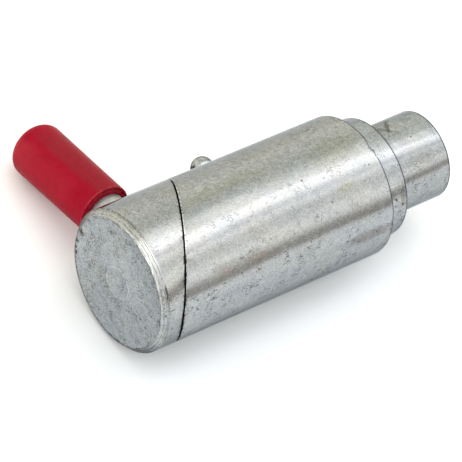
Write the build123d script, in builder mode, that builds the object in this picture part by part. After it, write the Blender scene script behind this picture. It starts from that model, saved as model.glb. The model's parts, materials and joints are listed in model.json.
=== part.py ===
from build123d import *
from math import asin, atan2, cos, degrees, hypot, radians, sin, sqrt
import os

# A weld-on twist lock plunger: a sprung lock pin in a barrel, drawn back by turning a knob
# whose slanted face rides up the slanted end of the barrel.
# X runs along the axis towards the tip of the pin, and Z is up.
# The origin is on the axis, where the nose stands out of the barrel's front face.
# The plunger lies as it comes to rest, on its barrel and on the end of its grip.
# Sizes are in millimetres.

# Barrel and knob share one outside diameter and meet at a slanted cut.
barrel_diameter = 40.0
body_length = 77.5
knob_length = 17.8
cam_angle = 30.0
cam_gap = 0.5
cam_edge_break = 0.3
barrel_rim_chamfer = 0.5
knob_bevel_width = 1.6
knob_bevel_length = 1.75
knob_end_wall = 5.0

# Spring chamber, bored from the front of the barrel.
chamber_diameter = 30.0
chamber_depth = 46.0
recess_diameter = 34.2
recess_depth = 1.0

# Guide bush: a spigot in the chamber, a flange in the recess and the nose in front.
nose_diameter = 33.7
nose_length = 7.5
nose_chamfer = 0.4
flange_diameter = 32.6
spigot_length = 6.0

# Lock pin: the tip, the collar that stops it, and the shank that carries the knob.
pin_diameter = 25.0
pin_reach = 19.0
pin_chamfer = 0.4
grease_groove_width = 1.5
grease_groove_depth = 0.3
collar_diameter = 29.0
collar_length = 3.5
shank_diameter = 16.0
shank_chamfer = 0.5
shank_end_gap = 0.5

# Return spring and the washer that lets the pin turn against it.
washer_diameter = 28.6
washer_thickness = 1.0
washer_bore_clearance = 0.3
spring_wire = 2.0
spring_mean_diameter = 23.0
spring_turns = 6

# Handle rod, screwed through the knob with its spigot in the shank.
handle_setback = 14.85
rod_diameter = 11.5
rod_spigot_diameter = 8.0
rod_shoulder_gap = 0.4
rod_spigot_depth = 7.0
rod_hole_end_gap = 0.5
rod_end_chamfer = 0.8

# Moulded grip, pushed on to the rod.
grip_start = 24.7
grip_diameter = 15.4
grip_end_diameter = 15.76
grip_body_length = 29.9
grip_dome_depth = 5.3
grip_dome_corner = 3.6
grip_end_wall = 3.4
grip_mouth_round = 1.5

# Grease nipple, screwed into the barrel on the handle's side.
nipple_setback = 29.0
nipple_thread_diameter = 6.0
nipple_spot_diameter = 9.0
nipple_spot_depth = 0.5
nipple_thread_gap = 0.3
nipple_hex_width = 7.0
nipple_hex_height = 2.6
nipple_hex_chamfer = 0.4
nipple_neck_diameter = 4.8
nipple_head_diameter = 6.5
nipple_head_height = 6.5
nipple_top_width = 3.4
nipple_bore_diameter = 2.8
nipple_inlet_diameter = 1.7
nipple_outlet_diameter = 1.6
nipple_outlet_length = 1.6
nipple_ball_diameter = 2.4
nipple_lip = 1.5
nipple_spring_wire = 0.35
nipple_spring_mean_diameter = 2.0
nipple_spring_turns = 7

# Fits: what turns or slides has a running clearance, what is fixed has a seat clearance.
running_clearance = 0.05
seat_clearance = 0.02

barrel_radius = barrel_diameter / 2
chamber_radius = chamber_diameter / 2
nose_radius = nose_diameter / 2
pin_radius = pin_diameter / 2
shank_radius = shank_diameter / 2
collar_radius = collar_diameter / 2
rod_radius = rod_diameter / 2
grip_end_radius = grip_end_diameter / 2
knob_back = -body_length
cut_centre = knob_back + knob_length
pin_tip = nose_length + pin_reach
collar_front = -spigot_length
collar_back = collar_front - collar_length
washer_back = collar_back - washer_thickness
chamber_back = -chamber_depth
knob_bore_end = knob_back + knob_end_wall
shank_end = knob_bore_end + shank_end_gap
handle_x = knob_back + handle_setback
nipple_x = -nipple_setback

# The plunger rolls until the rounded corner of the grip's dome is as low as the barrel.
dome_base = grip_start + grip_body_length
dome_corner_reach = grip_end_radius - grip_dome_corner
corner_drop = asin((barrel_radius - grip_dome_corner) / hypot(dome_base, dome_corner_reach))
handle_droop = corner_drop - atan2(dome_corner_reach, dome_base)

side = Vector(0, cos(handle_droop), -sin(handle_droop))
along = Vector(1, 0, 0)
side_tangent = along.cross(side)


def radial_plane(x, radius):
    """A plane square to the handle's side, at a distance from the axis."""
    return Plane(origin=along * x + side * radius, x_dir=along, z_dir=side)


def profile_plane(x):
    """A plane through the axis in which y runs out towards the handle's side."""
    return Plane(origin=along * x, x_dir=along, z_dir=side_tangent)


def radial_axis(x):
    """The line from the axis out towards the handle's side."""
    return Axis(along * x, side)


def cam_plane(x):
    """The slanted cut, which makes the knob longest on the handle's side."""
    tilt = radians(cam_angle)
    return Plane(origin=along * x, x_dir=side_tangent, z_dir=along * cos(tilt) - side * sin(tilt))


def coil_spring(foot, length, mean_diameter, wire, turns):
    """A round wire spring with plain ends, wound along the foot plane's normal."""
    rise = length - wire
    start = foot.offset(wire / 2).origin
    with BuildPart() as coil:
        with BuildLine() as path:
            Helix(rise / turns, rise, mean_diameter / 2, center=start, direction=foot.z_dir)
        with BuildSketch(Plane(origin=path.line @ 0, z_dir=path.line % 0)):
            Circle(wire / 2)
        sweep(path=path.line, is_frenet=True)
    return coil


# Barrel
barrel_cut = cam_plane(cut_centre + cam_gap / 2)
with BuildPart() as barrel:
    with BuildSketch(Plane.YZ):
        Circle(barrel_radius)
    extrude(amount=-body_length)
    split(bisect_by=barrel_cut, keep=Keep.TOP)
    with BuildSketch(Plane.YZ):
        Circle(chamber_radius)
    extrude(amount=-chamber_depth, mode=Mode.SUBTRACT)
    with BuildSketch(Plane.YZ):
        Circle(recess_diameter / 2)
    extrude(amount=-recess_depth, mode=Mode.SUBTRACT)
    with BuildSketch(Plane.YZ):
        Circle(shank_radius + running_clearance)
    extrude(amount=-body_length, mode=Mode.SUBTRACT)
    with BuildSketch(radial_plane(nipple_x, barrel_radius - nipple_spot_depth)):
        Circle(nipple_spot_diameter / 2)
    extrude(amount=barrel_radius, mode=Mode.SUBTRACT)
    with BuildSketch(radial_plane(nipple_x, 0)):
        Circle(nipple_thread_diameter / 2 + seat_clearance)
    extrude(amount=barrel_radius, mode=Mode.SUBTRACT)
    chamfer(barrel.faces().filter_by(barrel_cut).edges(), length=cam_edge_break)
    front_rim = barrel.faces().sort_by(Axis.X)[-1].outer_wire().edges()
    chamfer(front_rim, length=barrel_rim_chamfer)
barrel.part.label = "barrel"

# Guide bush
with BuildPart() as guide_bush:
    with BuildSketch(Plane.XY):
        with BuildLine():
            Polyline(
                (-spigot_length, pin_radius + running_clearance),
                (-spigot_length, chamber_radius - seat_clearance),
                (-recess_depth, chamber_radius - seat_clearance),
                (-recess_depth, flange_diameter / 2),
                (0, flange_diameter / 2),
                (0, nose_radius),
                (nose_length, nose_radius),
                (nose_length, pin_radius + running_clearance),
                close=True,
            )
        make_face()
    revolve(axis=Axis.X)
    nose_rim = guide_bush.faces().sort_by(Axis.X)[-1].outer_wire().edges()
    chamfer(nose_rim, length=nose_chamfer)
guide_bush.part.label = "guide_bush"

# Lock pin
with BuildPart() as lock_pin:
    with BuildSketch(Plane.XY):
        with BuildLine():
            Polyline(
                (shank_end, 0),
                (shank_end, shank_radius),
                (collar_back, shank_radius),
                (collar_back, collar_radius),
                (collar_front, collar_radius),
                (collar_front, pin_radius),
                (nose_length - grease_groove_width, pin_radius),
                (nose_length - grease_groove_width, pin_radius - grease_groove_depth),
                (nose_length, pin_radius - grease_groove_depth),
                (nose_length, pin_radius),
                (pin_tip, pin_radius),
                (pin_tip, 0),
                close=True,
            )
        make_face()
    revolve(axis=Axis.X)
    ends = lock_pin.faces().filter_by(Axis.X).sort_by(Axis.X)
    chamfer(ends[-1].edges(), length=pin_chamfer)
    chamfer(ends[0].edges(), length=shank_chamfer)
    with BuildSketch(radial_plane(handle_x, shank_radius)):
        Circle(rod_spigot_diameter / 2 + seat_clearance)
    extrude(amount=-rod_spigot_depth - rod_hole_end_gap, mode=Mode.SUBTRACT)
lock_pin.part.label = "lock_pin"

# Spring washer
with BuildPart() as spring_washer:
    with BuildSketch(Plane.YZ.offset(washer_back)):
        Circle(washer_diameter / 2)
        Circle(shank_radius + washer_bore_clearance, mode=Mode.SUBTRACT)
    extrude(amount=washer_thickness)
spring_washer.part.label = "spring_washer"

# Return spring
return_spring = coil_spring(
    Plane.YZ.offset(chamber_back),
    washer_back - chamber_back,
    spring_mean_diameter,
    spring_wire,
    spring_turns,
)
return_spring.part.label = "return_spring"

# Knob
knob_cut = cam_plane(cut_centre - cam_gap / 2)
with BuildPart() as knob:
    with BuildSketch(Plane.YZ.offset(knob_back)):
        Circle(barrel_radius)
    extrude(amount=body_length)
    split(bisect_by=knob_cut, keep=Keep.BOTTOM)
    back_rim = knob.faces().sort_by(Axis.X)[0].edges()
    back_face = knob.faces().sort_by(Axis.X)[0]
    chamfer(back_rim, length=knob_bevel_width, length2=knob_bevel_length, reference=back_face)
    with BuildSketch(Plane.YZ.offset(knob_bore_end)):
        Circle(shank_radius + seat_clearance)
    extrude(amount=body_length, mode=Mode.SUBTRACT)
    chamfer(knob.faces().filter_by(knob_cut).edges(), length=cam_edge_break)
    with BuildSketch(radial_plane(handle_x, 0)):
        Circle(rod_radius + seat_clearance)
    extrude(amount=barrel_radius, mode=Mode.SUBTRACT)
knob.part.label = "knob"

# Handle rod
rod_end = dome_base + grip_dome_depth - grip_end_wall
rod_shoulder = shank_radius + rod_shoulder_gap
with BuildPart() as handle_rod:
    with BuildSketch(radial_plane(handle_x, shank_radius - rod_spigot_depth)):
        Circle(rod_spigot_diameter / 2)
    extrude(amount=rod_spigot_depth + rod_shoulder_gap)
    with BuildSketch(radial_plane(handle_x, rod_shoulder)):
        Circle(rod_radius)
    extrude(amount=rod_end - rod_shoulder)
    chamfer(handle_rod.faces().sort_by(radial_axis(handle_x))[-1].edges(), length=rod_end_chamfer)
handle_rod.part.label = "handle_rod"

# Grip, whose dome is a shallow crown on a rounded corner that meets it without a step
corner_rise = grip_dome_depth - grip_dome_corner
crown_radius = (dome_corner_reach**2 + grip_dome_depth**2 - grip_dome_corner**2) / (2 * corner_rise)
crown_centre = dome_base + grip_dome_depth - crown_radius
crown_share = crown_radius / (crown_radius - grip_dome_corner)
crown_edge_reach = crown_share * dome_corner_reach
crown_edge = crown_centre + crown_share * (dome_base - crown_centre)
with BuildPart() as grip:
    with BuildSketch(profile_plane(handle_x)):
        with BuildLine():
            mouth = Line((rod_radius + seat_clearance, grip_start), (grip_diameter / 2, grip_start))
            wall = Line(mouth @ 1, (grip_end_radius, dome_base))
            corner = TangentArc(wall @ 1, (crown_edge_reach, crown_edge), tangent=(0, 1))
            crown = TangentArc(corner @ 1, (0, dome_base + grip_dome_depth), tangent=corner % 1)
            Polyline(crown @ 1, (0, rod_end), (rod_radius + seat_clearance, rod_end), mouth @ 0)
        make_face()
    revolve(axis=radial_axis(handle_x))
    mouth_face = grip.faces().sort_by(radial_axis(handle_x))[0]
    fillet(mouth_face.outer_wire().edges(), radius=grip_mouth_round)
grip.part.label = "grip"

# Grease nipple
nipple_seat = barrel_radius - nipple_spot_depth
nipple_foot = chamber_radius + nipple_thread_gap
nipple_head = nipple_seat + nipple_head_height
head_radius = nipple_head_diameter / 2
nipple_top = nipple_head + sqrt(head_radius**2 - (nipple_top_width / 2) ** 2)
neck_radius = nipple_neck_diameter / 2
neck_top = nipple_head - sqrt(head_radius**2 - neck_radius**2)
nipple_bore_top = nipple_top - nipple_lip
nipple_bore_foot = nipple_foot + nipple_outlet_length
with BuildPart() as grease_nipple:
    with BuildSketch(radial_plane(nipple_x, nipple_seat)):
        RegularPolygon(nipple_hex_width / 2, 6, major_radius=False)
    extrude(amount=nipple_hex_height)
    hex_top = grease_nipple.faces().sort_by(radial_axis(nipple_x))[-1]
    chamfer(hex_top.edges(), length=nipple_hex_chamfer)
    with BuildSketch(profile_plane(nipple_x)):
        with BuildLine():
            stem = Polyline(
                (0, nipple_foot),
                (nipple_thread_diameter / 2, nipple_foot),
                (nipple_thread_diameter / 2, nipple_seat),
                (neck_radius, nipple_seat),
                (neck_radius, neck_top),
            )
            ball = ThreePointArc(stem @ 1, (head_radius, nipple_head), (nipple_top_width / 2, nipple_top))
            Polyline(ball @ 1, (0, nipple_top), stem @ 0)
        make_face()
    revolve(axis=radial_axis(nipple_x))
    with BuildSketch(radial_plane(nipple_x, nipple_bore_foot)):
        Circle(nipple_bore_diameter / 2)
    extrude(amount=nipple_bore_top - nipple_bore_foot, mode=Mode.SUBTRACT)
    with BuildSketch(radial_plane(nipple_x, nipple_bore_top)):
        Circle(nipple_inlet_diameter / 2)
    extrude(amount=nipple_lip, mode=Mode.SUBTRACT)
    with BuildSketch(radial_plane(nipple_x, nipple_foot)):
        Circle(nipple_outlet_diameter / 2)
    extrude(amount=nipple_outlet_length, mode=Mode.SUBTRACT)
grease_nipple.part.label = "grease_nipple"

# Nipple ball, which closes the inlet from inside
ball_radius = nipple_ball_diameter / 2
ball_centre = nipple_bore_top - sqrt(ball_radius**2 - (nipple_inlet_diameter / 2) ** 2)
with BuildPart(radial_plane(nipple_x, ball_centre - seat_clearance)) as nipple_ball:
    Sphere(ball_radius)
nipple_ball.part.label = "nipple_ball"

# Nipple spring
nipple_spring = coil_spring(
    radial_plane(nipple_x, nipple_bore_foot),
    ball_centre - ball_radius - nipple_bore_foot,
    nipple_spring_mean_diameter,
    nipple_spring_wire,
    nipple_spring_turns,
)
nipple_spring.part.label = "nipple_spring"

os.makedirs("parts", exist_ok=True)
for piece in (
    barrel,
    guide_bush,
    lock_pin,
    spring_washer,
    return_spring,
    knob,
    handle_rod,
    grip,
    grease_nipple,
    nipple_ball,
    nipple_spring,
):
    export_step(piece.part, f"parts/{piece.part.label}.step")
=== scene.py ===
import json
from math import cos, pi, radians, sin, sqrt

import bmesh
import bpy
from mathutils import Matrix, Vector


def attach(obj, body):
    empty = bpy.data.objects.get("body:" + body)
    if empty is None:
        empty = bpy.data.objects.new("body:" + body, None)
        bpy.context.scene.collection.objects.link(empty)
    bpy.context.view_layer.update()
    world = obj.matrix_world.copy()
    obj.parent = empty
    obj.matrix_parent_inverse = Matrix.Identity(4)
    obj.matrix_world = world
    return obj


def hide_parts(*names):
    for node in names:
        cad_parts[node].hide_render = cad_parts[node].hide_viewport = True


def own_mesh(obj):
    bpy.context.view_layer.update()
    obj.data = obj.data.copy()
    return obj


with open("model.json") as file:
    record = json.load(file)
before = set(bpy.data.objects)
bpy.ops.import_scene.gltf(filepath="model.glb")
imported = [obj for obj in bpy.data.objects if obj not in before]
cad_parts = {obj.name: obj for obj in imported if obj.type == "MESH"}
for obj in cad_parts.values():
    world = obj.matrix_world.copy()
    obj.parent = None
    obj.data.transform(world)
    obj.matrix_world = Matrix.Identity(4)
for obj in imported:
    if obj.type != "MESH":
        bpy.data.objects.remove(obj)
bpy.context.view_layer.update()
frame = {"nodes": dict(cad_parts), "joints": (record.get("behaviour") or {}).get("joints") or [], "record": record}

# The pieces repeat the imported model's sizes, in millimetres. Places along the axis are counted
# from the origin, and places on the handle and the nipple from the axis.
MM = 0.001
RUNNING_CLEARANCE = 0.05
SEAT_CLEARANCE = 0.02

# Barrel
BARREL_RADIUS = 20.0
BARREL_RIM_BREAK = 0.5
CHAMBER_BACK = -46.0
CHAMBER_RADIUS = 15.0
RECESS_RADIUS = 17.1
RECESS_DEPTH = 1.0

# Nicks in the barrel's rim, each an angle round the axis and a depth, and the rings beside the
# rim that keep them short
RIM_NICKS = [(3, 0.15), (8.5, 0.35), (16, 0.15)]
NICK_REACH = 0.85
RIM_RING_INSIDE = 1.0
RIM_RINGS_BEHIND = (1.1, 1.6)

# Slanted cut between the barrel and the knob, where it crosses the axis
CUT_CENTRE = -59.7
CUT_ANGLE = radians(30)
CUT_GAP = 0.5
CUT_EDGE_BREAK = 0.12
PAST_CUT = -40.0
BARREL_CUT = CUT_CENTRE + CUT_GAP / 2
KNOB_CUT = CUT_CENTRE - CUT_GAP / 2

# Knob, with the ridges on its bevel and the raised ring on its sunk end face
KNOB_BACK = -77.5
KNOB_BORE_END = -72.5
KNOB_BEVEL_WIDTH = 1.6
KNOB_BEVEL_LENGTH = 1.75
BEVEL_RIDGES = 5
RIDGE_DEPTH = 0.05
LIP_RADIUS = BARREL_RADIUS - KNOB_BEVEL_WIDTH
LIP_FLAT = 0.15
LIP_SLOPE = 0.25
FACE_SINK = 0.08
CENTRE_RING_RADIUS = 4.5
CENTRE_RING_SLOPE = 0.3
CENTRE_RING_RISE = 0.05

# Guide bush
NOSE_RADIUS = 16.85
NOSE_FRONT = 7.5
NOSE_BREAK = 0.4
FLANGE_RADIUS = 16.3
SPIGOT_RADIUS = 14.98
SPIGOT_BACK = -6.0

# Lock pin
PIN_RADIUS = 12.5
PIN_TIP = 26.5
PIN_BREAK = 0.4
GROOVE_BACK = 6.0
GROOVE_RADIUS = 12.2
COLLAR_RADIUS = 14.5
COLLAR_BACK = -9.5
SHANK_RADIUS = 8.0
SHANK_END = -72.0

# Handle rod
HANDLE_X = -62.65
ROD_RADIUS = 5.75
ROD_SPIGOT_RADIUS = 4.0
ROD_HOLE_FOOT = 0.5
ROD_FOOT = 1.0
ROD_SHOULDER = 8.4
ROD_END = 56.5
ROD_END_BREAK = 0.8

# Grip, whose mouth folds in: each point of the fold is so far into the grip and out of its bore
GRIP_START = 24.7
GRIP_RADIUS = 7.7
GRIP_END_RADIUS = 7.88
GRIP_MOUTH_FOLD = [
    (0.2, 0), (0, 0.15), (0, 0.3), (0.12, 0.5), (0.7, 0.75), (0.85, 0.95), (0.7, 1.2)
]
GRIP_MOUTH_ROUND = 0.4
GRIP_MOUTH_SET = 0.35
GRIP_MOUTH_CURL = radians(-96)
DOME_BASE = 54.6
DOME_DEPTH = 5.3
DOME_CORNER = 3.6
DOME_TIP_ANGLE = radians(88.5)

# Grease nipple
NIPPLE_X = -29.0
NIPPLE_SEAT = 19.5
NIPPLE_SPOT_RADIUS = 4.5
NIPPLE_FOOT = 15.3
NIPPLE_THREAD_RADIUS = 3.0
NIPPLE_THREAD_TOP = 20.2
NIPPLE_HEX_WIDTH = 7.0
NIPPLE_HEX_HEIGHT = 2.6
NIPPLE_HEX_BREAK = 0.4
NIPPLE_HEX_BORE_RADIUS = 2.0
NIPPLE_NECK_RADIUS = 2.4
NIPPLE_HEAD = 26.0
NIPPLE_HEAD_RADIUS = 3.25
NIPPLE_TOP_RADIUS = 1.7
NIPPLE_OUTLET_RADIUS = 0.8
NIPPLE_BORE_FOOT = 16.9
NIPPLE_BORE_RADIUS = 1.4
NIPPLE_INLET_RADIUS = 0.85
NIPPLE_LIP = 1.5

# Springs, at rest and pressed by the whole travel
SPRING_LENGTH = 35.5
SPRING_WIRE = 2.0
SPRING_DIAMETER = 23.0
SPRING_TURNS = 6
VALVE_SPRING_LENGTH = 8.32
VALVE_SPRING_WIRE = 0.35
VALVE_SPRING_DIAMETER = 2.0
VALVE_SPRING_TURNS = 7
WIRE_SIDES = 12
COIL_STEPS = 40

# Sides of a full turn on the large, middling and small pieces
LARGE_TURN = 160
MIDDLE_TURN = 96
SMALL_TURN = 64

# How far a bit runs past the faces that it cuts
OVERRUN = 1.0

# How near a ring, a cut or an edge a point counts as on it, in metres
ON_RING = 2e-5
ON_CUT = 1e-6
ON_EDGE = 1e-5

# Directions: along the barrel's axis, across it, up, out through the handle, and square to
# the slanted cut
AXIS = Vector((1, 0, 0))
ACROSS = Vector((0, 1, 0))
UP = Vector((0, 0, 1))
lift = next(joint for joint in frame["joints"] if joint["name"] == "valve_lift")
HANDLE_SIDE = -Vector(lift["axis"]).normalized()
SIDE_LEAN = UP.rotation_difference(HANDLE_SIDE).to_euler()
SLANT = (AXIS * cos(CUT_ANGLE) - HANDLE_SIDE * sin(CUT_ANGLE)).normalized()


def axis_line():
    """The barrel's axis: a point on it, its direction, and the turn that lays Z along it."""
    return Vector((0, 0, 0)), AXIS, (0, pi / 2, 0)


def side_line(x):
    """The line out of the axis towards the handle's side, at x millimetres."""
    return AXIS * x * MM, HANDLE_SIDE, SIDE_LEAN


def turned(name, line, stations, segments=LARGE_TURN, first_corner=0):
    """An open shell turned about a line, drawn ring by ring through its stations."""
    foot, along, lie = line
    reach, radius = stations[0]
    bpy.ops.object.select_all(action="DESELECT")
    bpy.ops.mesh.primitive_circle_add(
        vertices=segments, radius=radius * MM, rotation=(0, 0, first_corner)
    )
    shell = bpy.context.object
    shell.name = name
    bpy.ops.object.transform_apply(location=True, rotation=True, scale=True)
    shell.location = foot + along * reach * MM
    shell.rotation_euler = lie
    bpy.ops.object.transform_apply(location=True, rotation=True, scale=True)
    bpy.ops.object.mode_set(mode="EDIT")
    bpy.ops.mesh.select_all(action="SELECT")
    for next_reach, next_radius in stations[1:]:
        bpy.ops.mesh.extrude_edges_move(
            TRANSFORM_OT_translate={"value": along * (next_reach - reach) * MM}
        )
        if next_radius != radius:
            bpy.ops.transform.resize(
                value=(next_radius / radius,) * 3,
                center_override=foot + along * next_reach * MM,
            )
        reach, radius = next_reach, next_radius
    bpy.ops.object.mode_set(mode="OBJECT")
    return shell


def start_edit(piece):
    """Open one piece for editing with nothing selected in it."""
    bpy.ops.object.select_all(action="DESELECT")
    piece.select_set(True)
    bpy.context.view_layer.objects.active = piece
    bpy.ops.object.mode_set(mode="EDIT")
    bpy.ops.mesh.select_mode(type="VERT")
    bpy.ops.mesh.select_all(action="DESELECT")


def select_where(piece, wanted):
    """Select the points of the piece in hand that are wanted, by their place."""
    bpy.ops.mesh.select_all(action="DESELECT")
    mesh = bmesh.from_edit_mesh(piece.data)
    for point in mesh.verts:
        point.select = wanted(point.co)
    mesh.select_flush(True)
    bmesh.update_edit_mesh(piece.data)


def ring_at(line, reach, radius):
    """A test for the points of one turned ring."""
    foot, along, _ = line

    def wanted(point):
        out = point - foot
        height = out.dot(along)
        width = (out - along * height).length
        return abs(height - reach * MM) < ON_RING and abs(width - radius * MM) < ON_RING

    return wanted


def cap(piece, line, reach, radius):
    """Close a turned shell's open ring with a flat face."""
    start_edit(piece)
    select_where(piece, ring_at(line, reach, radius))
    bpy.ops.mesh.edge_face_add()
    bpy.ops.object.mode_set(mode="OBJECT")


def close_tip(piece, line, reach, radius):
    """Close a dome's last small ring to a point."""
    start_edit(piece)
    select_where(piece, ring_at(line, reach, radius))
    bpy.ops.mesh.merge(type="CENTER")
    bpy.ops.object.mode_set(mode="OBJECT")


def bridge_rings(piece, line, *rings):
    """Join two open rings with a band of faces."""
    tests = [ring_at(line, reach, radius) for reach, radius in rings]
    start_edit(piece)
    select_where(piece, lambda point: any(test(point) for test in tests))
    bpy.ops.mesh.bridge_edge_loops()
    bpy.ops.object.mode_set(mode="OBJECT")


def break_edge(piece, wanted, width, steps=3):
    """Round a turned edge off by a small width."""
    start_edit(piece)
    select_where(piece, wanted)
    bpy.ops.mesh.bevel(offset=width * MM, segments=steps, profile=0.5, affect="EDGES")
    bpy.ops.object.mode_set(mode="OBJECT")


def on_side(x, angle, radius):
    """The point on a turned side at x millimetres and an angle from straight up towards -Y."""
    turn = radians(angle)
    return Vector((x, -radius * sin(turn), radius * cos(turn))) * MM


def nick(piece, place, reach, push):
    """Push in the points of an edge that lie within a reach of a place."""
    start_edit(piece)
    select_where(piece, lambda point: (point - place).length < reach * MM)
    bpy.ops.transform.translate(value=push * MM)
    bpy.ops.object.mode_set(mode="OBJECT")


def slanted_cut(piece, centre, keep_front, bore):
    """Cut a turned piece at the cam's angle, face the cut, and break its two edges."""
    middle = AXIS * centre * MM

    def on_cut(point):
        return abs((point - middle).dot(SLANT)) < ON_CUT

    def outer_edge(point):
        return on_cut(point) and point.yz.length > BARREL_RADIUS * MM - ON_EDGE

    def bore_edge(point):
        return on_cut(point) and point.yz.length < bore * MM + ON_EDGE

    start_edit(piece)
    bpy.ops.mesh.select_all(action="SELECT")
    bpy.ops.mesh.bisect(
        plane_co=middle, plane_no=SLANT, clear_inner=keep_front, clear_outer=not keep_front
    )
    select_where(piece, on_cut)
    bpy.ops.mesh.bridge_edge_loops()
    bpy.ops.object.mode_set(mode="OBJECT")
    break_edge(piece, outer_edge, CUT_EDGE_BREAK, steps=2)
    break_edge(piece, bore_edge, CUT_EDGE_BREAK, steps=2)


def face_outwards(piece):
    """Merge doubled points and turn every face outwards."""
    start_edit(piece)
    bpy.ops.mesh.select_all(action="SELECT")
    bpy.ops.mesh.remove_doubles(threshold=1e-7)
    bpy.ops.mesh.normals_make_consistent(inside=False)
    bpy.ops.object.mode_set(mode="OBJECT")


def combine(piece, tool, operation):
    """Cut a tool out of a piece, or grow it on, and put the tool away."""
    face_outwards(piece)
    face_outwards(tool)
    work = piece.modifiers.new("combine", "BOOLEAN")
    work.operation = operation
    work.solver = "EXACT"
    work.object = tool
    bpy.context.view_layer.objects.active = piece
    bpy.ops.object.modifier_apply(modifier=work.name)
    bpy.data.objects.remove(tool)


def drill(piece, line, foot, top, radius):
    """Drill a round hole out from foot to top along a line."""
    bit = turned("bit", line, [(foot, radius), (top, radius)], SMALL_TURN)
    cap(bit, line, foot, radius)
    cap(bit, line, top, radius)
    combine(piece, bit, "DIFFERENCE")


def finish_shape(piece, sharp=30):
    """Shade a finished piece smooth, with its real edges kept."""
    face_outwards(piece)
    bpy.ops.object.select_all(action="DESELECT")
    piece.select_set(True)
    bpy.context.view_layer.objects.active = piece
    bpy.ops.object.shade_smooth_by_angle(angle=radians(sharp))


def arc(centre_reach, centre_radius, radius, start, end, steps):
    """Stations along an arc, whose angle is counted from straight out."""
    angles = [start + (end - start) * step / steps for step in range(1, steps + 1)]
    return [(centre_reach + radius * sin(a), centre_radius + radius * cos(a)) for a in angles]


def make_barrel():
    """The housing: shank bore, spring chamber, slanted back, nicked rim and nipple's hole."""
    line = axis_line()
    bore = SHANK_RADIUS + RUNNING_CLEARANCE
    barrel = turned("barrel_tube", line, [
        (KNOB_BACK, bore),
        (CHAMBER_BACK, bore),
        (CHAMBER_BACK, CHAMBER_RADIUS),
        (-RECESS_DEPTH, CHAMBER_RADIUS),
        (-RECESS_DEPTH, RECESS_RADIUS),
        (0, RECESS_RADIUS),
        (0, BARREL_RADIUS - RIM_RING_INSIDE),
        (0, BARREL_RADIUS),
        *[(-behind, BARREL_RADIUS) for behind in RIM_RINGS_BEHIND],
        (NIPPLE_X + 2 * NIPPLE_SPOT_RADIUS, BARREL_RADIUS),
        (NIPPLE_X - 2 * NIPPLE_SPOT_RADIUS, BARREL_RADIUS),
        (KNOB_BACK, BARREL_RADIUS),
    ])
    slanted_cut(barrel, BARREL_CUT, True, bore)
    break_edge(barrel, ring_at(line, 0, BARREL_RADIUS), BARREL_RIM_BREAK)
    for angle, depth in RIM_NICKS:
        place = on_side(0, angle, BARREL_RADIUS)
        nick(barrel, place, NICK_REACH, -(AXIS + place.normalized()) * depth)
    side = side_line(NIPPLE_X)
    drill(barrel, side, NIPPLE_SEAT, BARREL_RADIUS + OVERRUN, NIPPLE_SPOT_RADIUS)
    drill(barrel, side, CHAMBER_RADIUS - OVERRUN, NIPPLE_SEAT + OVERRUN,
          NIPPLE_THREAD_RADIUS + SEAT_CLEARANCE)
    finish_shape(barrel)
    return barrel


def make_bush():
    """The nose ring, with the flange and the spigot that seat it in the barrel."""
    line = axis_line()
    bore = PIN_RADIUS + RUNNING_CLEARANCE
    bush = turned("nose_bush", line, [
        (SPIGOT_BACK, bore),
        (SPIGOT_BACK, SPIGOT_RADIUS),
        (-RECESS_DEPTH, SPIGOT_RADIUS),
        (-RECESS_DEPTH, FLANGE_RADIUS),
        (0, FLANGE_RADIUS),
        (0, NOSE_RADIUS),
        (NOSE_FRONT, NOSE_RADIUS),
        (NOSE_FRONT, bore),
    ])
    bridge_rings(bush, line, (NOSE_FRONT, bore), (SPIGOT_BACK, bore))
    break_edge(bush, ring_at(line, NOSE_FRONT, NOSE_RADIUS), NOSE_BREAK)
    finish_shape(bush)
    return bush


def make_pin():
    """The lock pin's tip, collar and shank, turned in one and drilled for the rod."""
    line = axis_line()
    pin = turned("locking_pin", line, [
        (SHANK_END, SHANK_RADIUS),
        (COLLAR_BACK, SHANK_RADIUS),
        (COLLAR_BACK, COLLAR_RADIUS),
        (SPIGOT_BACK, COLLAR_RADIUS),
        (SPIGOT_BACK, PIN_RADIUS),
        (GROOVE_BACK, PIN_RADIUS),
        (GROOVE_BACK, GROOVE_RADIUS),
        (NOSE_FRONT, GROOVE_RADIUS),
        (NOSE_FRONT, PIN_RADIUS),
        (PIN_TIP, PIN_RADIUS),
    ])
    cap(pin, line, SHANK_END, SHANK_RADIUS)
    cap(pin, line, PIN_TIP, PIN_RADIUS)
    break_edge(pin, ring_at(line, PIN_TIP, PIN_RADIUS), PIN_BREAK)
    break_edge(pin, ring_at(line, SHANK_END, SHANK_RADIUS), PIN_BREAK)
    drill(pin, side_line(HANDLE_X), ROD_HOLE_FOOT, SHANK_RADIUS + OVERRUN,
          ROD_SPIGOT_RADIUS + SEAT_CLEARANCE)
    finish_shape(pin)
    return pin


def bevel_ridges():
    """Stations down the knob's bevel, over the fine ridges that its turning left."""
    stations = [(KNOB_BACK + KNOB_BEVEL_LENGTH, BARREL_RADIUS)]
    for ridge in range(1, 2 * BEVEL_RIDGES):
        share = 1 - ridge / (2 * BEVEL_RIDGES)
        sink = RIDGE_DEPTH * (ridge % 2)
        stations.append((
            KNOB_BACK + KNOB_BEVEL_LENGTH * share + sink,
            BARREL_RADIUS - KNOB_BEVEL_WIDTH * (1 - share) - sink,
        ))
    return stations


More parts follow.
